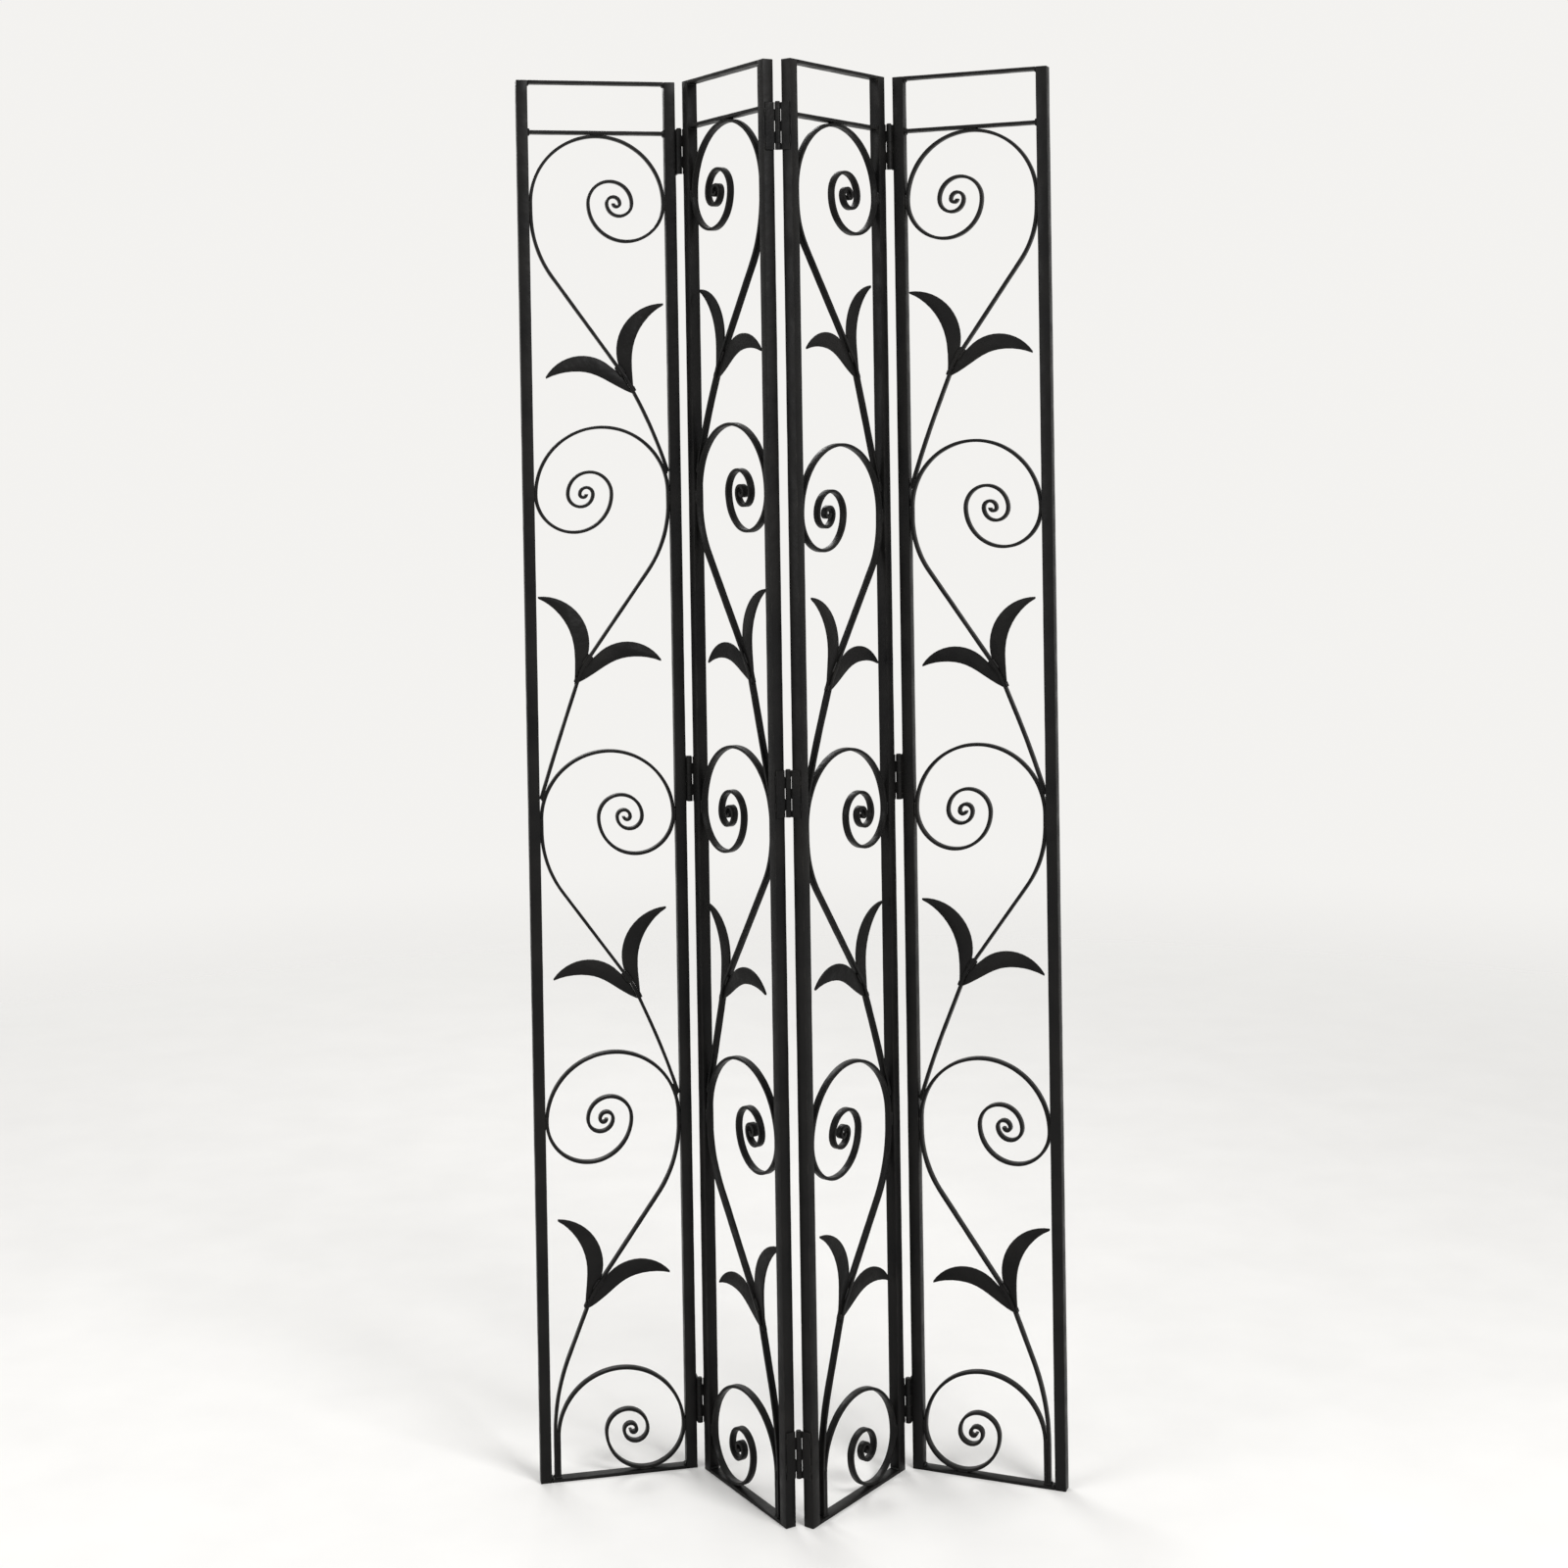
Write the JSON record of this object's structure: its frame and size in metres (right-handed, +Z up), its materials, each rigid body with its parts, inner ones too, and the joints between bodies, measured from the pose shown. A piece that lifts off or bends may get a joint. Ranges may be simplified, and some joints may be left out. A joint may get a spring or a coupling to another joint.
{
  "type": "folding iron screen",
  "caption": "Free-standing folding screen of forged iron, hinged open panels in a zigzag, each framing a vine of scrolls and crescent leaves.",
  "frame": {"origin": "on the floor, at the middle of the screen's footprint as it stands in its rest zigzag", "axes": "+Z up; +X to the right and +Y to the back, as seen from the front"},
  "size_m": [0.7462, 0.2111, 1.98],
  "materials": {
    "frame_bar": "satin black paint over forged iron",
    "scroll_bar": "satin black paint over forged iron",
    "leaf": "satin black paint over forged iron",
    "hinge": "satin black paint over forged iron",
    "hinge_pin": "satin black paint over forged iron"
  },
  "bodies": {
    "panel_1": {"panel_1_left_stile": "frame_bar", "panel_1_right_stile": "frame_bar", "panel_1_top_rail": "frame_bar", "panel_1_cross_rail": "frame_bar", "panel_1_foot_rail": "frame_bar", "panel_1_odd_scrolls": "scroll_bar", "panel_1_even_scrolls": "scroll_bar", "panel_1_leaves": "leaf", "hinges_1_2_left_flaps": "hinge", "hinges_1_2_pins": "hinge_pin"},
    "panel_2": {"panel_2_left_stile": "frame_bar", "panel_2_right_stile": "frame_bar", "panel_2_top_rail": "frame_bar", "panel_2_cross_rail": "frame_bar", "panel_2_foot_rail": "frame_bar", "panel_2_odd_scrolls": "scroll_bar", "panel_2_even_scrolls": "scroll_bar", "panel_2_leaves": "leaf", "hinges_1_2_right_flaps": "hinge", "hinges_2_3_left_flaps": "hinge"},
    "panel_3": {"panel_3_left_stile": "frame_bar", "panel_3_right_stile": "frame_bar", "panel_3_top_rail": "frame_bar", "panel_3_cross_rail": "frame_bar", "panel_3_foot_rail": "frame_bar", "panel_3_odd_scrolls": "scroll_bar", "panel_3_even_scrolls": "scroll_bar", "panel_3_leaves": "leaf", "hinges_2_3_right_flaps": "hinge", "hinges_2_3_pins": "hinge_pin", "hinges_3_4_left_flaps": "hinge"},
    "panel_4": {"panel_4_left_stile": "frame_bar", "panel_4_right_stile": "frame_bar", "panel_4_top_rail": "frame_bar", "panel_4_cross_rail": "frame_bar", "panel_4_foot_rail": "frame_bar", "panel_4_odd_scrolls": "scroll_bar", "panel_4_even_scrolls": "scroll_bar", "panel_4_leaves": "leaf", "hinges_3_4_right_flaps": "hinge", "hinges_3_4_pins": "hinge_pin"}
  },
  "joints": [
    {"name": "fold_1_2", "type": "hinge", "parent": "panel_2", "child": "panel_1", "pos_m": [-0.14578, 0.08703, 0.99], "axis": [0, 0, 1], "range_deg": [-70.8, 109.2]},
    {"name": "fold_2_3", "type": "hinge", "parent": "panel_2", "child": "panel_3", "pos_m": [-0.00119, -0.09712, 0.99], "axis": [0, 0, 1], "range_deg": [-112.3, 67.7]},
    {"name": "fold_3_4", "type": "hinge", "parent": "panel_3", "child": "panel_4", "pos_m": [0.15191, 0.08002, 0.99], "axis": [0, 0, -1], "range_deg": [-75.4, 104.6]}
  ]
}
